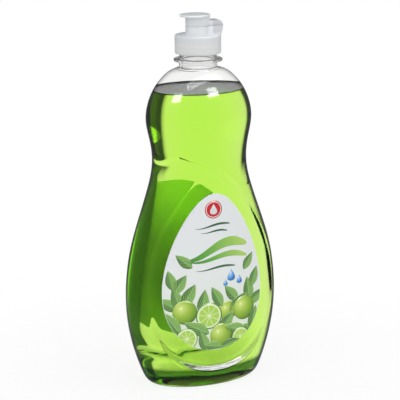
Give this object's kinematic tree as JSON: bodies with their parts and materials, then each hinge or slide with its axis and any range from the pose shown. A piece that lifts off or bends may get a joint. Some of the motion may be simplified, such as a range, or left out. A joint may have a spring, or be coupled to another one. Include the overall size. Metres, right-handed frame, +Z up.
{
  "type": "dish soap bottle",
  "caption": "Clear oval waisted squeeze bottle of green dish soap with pressed label panels, egg-shaped labels and a white screw cap with a flip-top lid.",
  "frame": {"origin": "centre of the foot, on the surface the bottle stands on", "axes": "+Z up the bottle, X along its width with the lid's hinge at +X and its thumb lip at -X, the front label faces -Y"},
  "size_m": [0.1094, 0.0564, 0.2574],
  "materials": {
    "clear_bottle": "clear blown plastic, glossy",
    "green_soap": "clear lime green liquid",
    "label_film": "printed white film, satin",
    "cap_white": "translucent white moulded plastic, satin"
  },
  "bodies": {
    "bottle": {"bottle": "clear_bottle", "liquid_soap": "green_soap", "front_label": "label_film", "back_label": "label_film"},
    "cap": {"cap_base": "cap_white"},
    "lid": {"flip_lid": "cap_white"}
  },
  "joints": [
    {"name": "cap_turn", "type": "hinge", "parent": "bottle", "child": "cap", "pos_m": [0, 0, 0.2365], "axis": [0, 0, 1], "range_deg": [0, 450]},
    {"name": "lid_flip", "type": "hinge", "parent": "cap", "child": "lid", "pos_m": [0.0166, 0, 0.2495], "axis": [0, 1, 0], "range_deg": [0, 140]}
  ]
}
